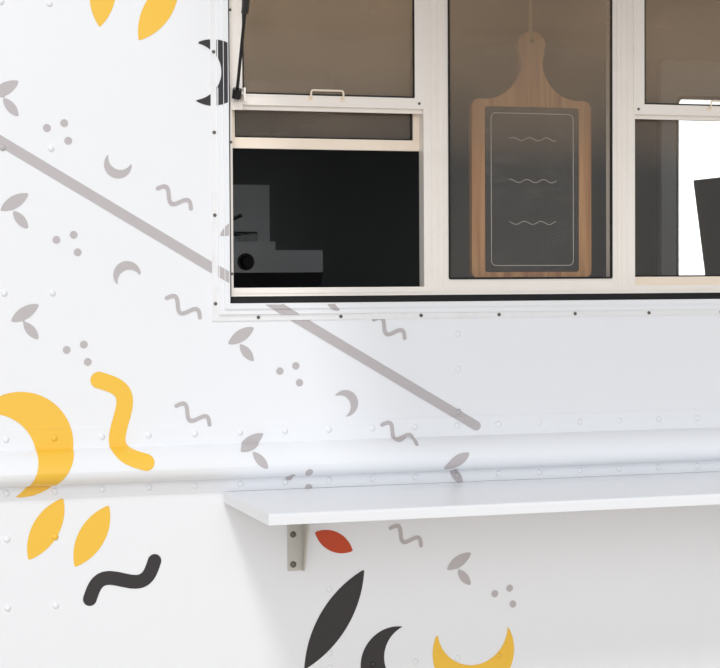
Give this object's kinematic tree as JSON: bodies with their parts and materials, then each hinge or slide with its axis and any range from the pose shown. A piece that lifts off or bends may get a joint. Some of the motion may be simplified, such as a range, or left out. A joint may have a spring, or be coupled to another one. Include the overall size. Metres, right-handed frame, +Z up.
{
  "type": "food truck",
  "caption": "White walk-in food truck with its serving hatch raised over a sliding window, a folding shelf, sliding cab doors, hinged rear doors and turning wheels.",
  "frame": {"origin": "on the ground, under the middle of the overall box, which takes in the raised hatch on the serving side and the mirror on the street side", "axes": "+X forward along the truck, +Y to the street side, away from the serving window, +Z up"},
  "size_m": [7.2, 3.6774, 3.1779],
  "materials": {
    "white_paint": "gloss white sheet",
    "black_paint": "satin black",
    "chassis_paint": "black chassis paint, dusty",
    "cast_steel": "cast and forged steel",
    "spring_steel": "dark spring steel",
    "tank_steel": "black tank",
    "exhaust_steel": "dull aluminised steel",
    "tyre_rubber": "black rubber",
    "wheel_steel": "painted steel wheels",
    "anodised": "satin anodised",
    "trim_metal": "mill-finish strip",
    "gasket_rubber": "black sponge rubber",
    "clear_glass": "clear float glass",
    "dark_glass": "tinted glass",
    "stainless": "brushed stainless",
    "deck_plate": "tread plate",
    "lamp_plastic": "clear and red lenses",
    "black_plastic": "grained black",
    "seat_vinyl": "black vinyl",
    "bright_steel": "polished rod",
    "board_wood": "stained pine with a black face",
    "twine": "hemp twine"
  },
  "bodies": {
    "truck": {"belt_rails": "white_paint", "cab_shell": "white_paint", "chassis_frame": "chassis_paint", "cook_line": "stainless", "counter": "stainless", "dashboard": "black_plastic", "driver_seat": "black_paint", "engine_block": "cast_steel", "exhaust_system": "exhaust_steel", "floor_deck": "deck_plate", "front_axle": "cast_steel", "front_bumper": "black_paint", "fuel_tank": "tank_steel", "grille": "black_plastic", "hatch_header": "white_paint", "lamps": "lamp_plastic", "leaf_springs": "spring_steel", "menu_board": "board_wood", "menu_hanger": "twine", "mirrors": "black_plastic", "opening_rim": "white_paint", "rear_axle": "cast_steel", "rear_bumper": "black_paint", "rear_wall": "white_paint", "roof_fan": "trim_metal", "roof_shell": "white_paint", "seat_pads": "seat_vinyl", "serving_wall": "white_paint", "shelf_brackets": "white_paint", "street_wall": "white_paint", "trim_strip": "trim_metal", "window_frame": "anodised", "window_gasket": "gasket_rubber", "window_glass": "clear_glass", "window_sashes": "anodised", "windscreen": "clear_glass"},
    "hatch": {"serving_hatch": "white_paint"},
    "struts_upper": {"strut_tubes": "black_paint"},
    "struts_lower": {"strut_rods": "bright_steel"},
    "shelf": {"serving_shelf": "white_paint"},
    "hood": {"hood": "white_paint"},
    "door_left": {"cab_door_left": "white_paint", "cab_door_glass_left": "clear_glass"},
    "door_right": {"cab_door_right": "white_paint", "cab_door_glass_right": "clear_glass"},
    "rear_door_left": {"rear_door_left": "white_paint", "rear_glass_left": "dark_glass"},
    "rear_door_right": {"rear_door_right": "white_paint", "rear_glass_right": "dark_glass"},
    "knuckle_left": {"knuckle_left": "cast_steel"},
    "knuckle_right": {"knuckle_right": "cast_steel"},
    "wheel_front_left": {"front_tyre_left": "tyre_rubber", "front_rim_left": "wheel_steel"},
    "wheel_front_right": {"front_tyre_right": "tyre_rubber", "front_rim_right": "wheel_steel"},
    "wheels_rear_left": {"rear_tyres_left": "tyre_rubber", "rear_rims_left": "wheel_steel"},
    "wheels_rear_right": {"rear_tyres_right": "tyre_rubber", "rear_rims_right": "wheel_steel"}
  },
  "joints": [
    {"name": "hatch_hinge", "type": "hinge", "parent": "truck", "child": "hatch", "pos_m": [-0.15, -0.85033, 2.55], "axis": [1, 0, 0], "range_deg": [0, 80]},
    {"name": "strut_pivot", "type": "hinge", "parent": "hatch", "child": "struts_upper", "pos_m": [-0.15, -0.98798, 2.46683], "axis": [1, 0, 0], "range_deg": [-107.41, 0]},
    {"name": "strut_stroke", "type": "slide", "parent": "struts_upper", "child": "struts_lower", "axis": [0, 0.4327, -0.9015], "range_m": [-0.11292, 0]},
    {"name": "shelf_hinge", "type": "hinge", "parent": "truck", "child": "shelf", "pos_m": [-0.15, -0.84133, 1.128], "axis": [1, 0, 0], "range_deg": [0, 90]},
    {"name": "hood_hinge", "type": "hinge", "parent": "truck", "child": "hood", "pos_m": [3.09808, 0.38367, 1.4299], "axis": [0, -1, 0], "range_deg": [0, 60]},
    {"name": "door_left_slide", "type": "slide", "parent": "truck", "child": "door_left", "axis": [-1, 0, 0], "range_m": [0, 0.66]},
    {"name": "door_right_slide", "type": "slide", "parent": "truck", "child": "door_right", "axis": [-1, 0, 0], "range_m": [0, 0.66]},
    {"name": "rear_door_left_hinge", "type": "hinge", "parent": "truck", "child": "rear_door_left", "pos_m": [-3.468, 1.00117, 1.66], "axis": [0, 0, -1], "range_deg": [0, 105]},
    {"name": "rear_door_right_hinge", "type": "hinge", "parent": "truck", "child": "rear_door_right", "pos_m": [-3.468, -0.23383, 1.66], "axis": [0, 0, 1], "range_deg": [0, 105]},
    {"name": "steer_left", "type": "hinge", "parent": "truck", "child": "knuckle_left", "pos_m": [2.6, 1.24867, 0.4055], "axis": [0, 0, 1], "range_deg": [-35, 35]},
    {"name": "steer_right", "type": "hinge", "parent": "truck", "child": "knuckle_right", "pos_m": [2.6, -0.48133, 0.4055], "axis": [0, 0, 1], "range_deg": [-35, 35]},
    {"name": "spin_front_left", "type": "hinge", "parent": "knuckle_left", "child": "wheel_front_left", "pos_m": [2.6, 1.36367, 0.4055], "axis": [0, 1, 0], "continuous": true},
    {"name": "spin_front_right", "type": "hinge", "parent": "knuckle_right", "child": "wheel_front_right", "pos_m": [2.6, -0.59633, 0.4055], "axis": [0, 1, 0], "continuous": true},
    {"name": "spin_rear_left", "type": "hinge", "parent": "truck", "child": "wheels_rear_left", "pos_m": [-1.9, 1.27117, 0.4055], "axis": [0, 1, 0], "continuous": true},
    {"name": "spin_rear_right", "type": "hinge", "parent": "truck", "child": "wheels_rear_right", "pos_m": [-1.9, -0.50383, 0.4055], "axis": [0, 1, 0], "continuous": true}
  ],
  "couplings": [
    {"joint": "strut_pivot", "follows": "hatch_hinge", "ratio": -1.3163},
    {"joint": "strut_stroke", "follows": "hatch_hinge", "m_per_rad": -0.080072},
    {"joint": "steer_right", "follows": "steer_left", "ratio": 1}
  ]
}
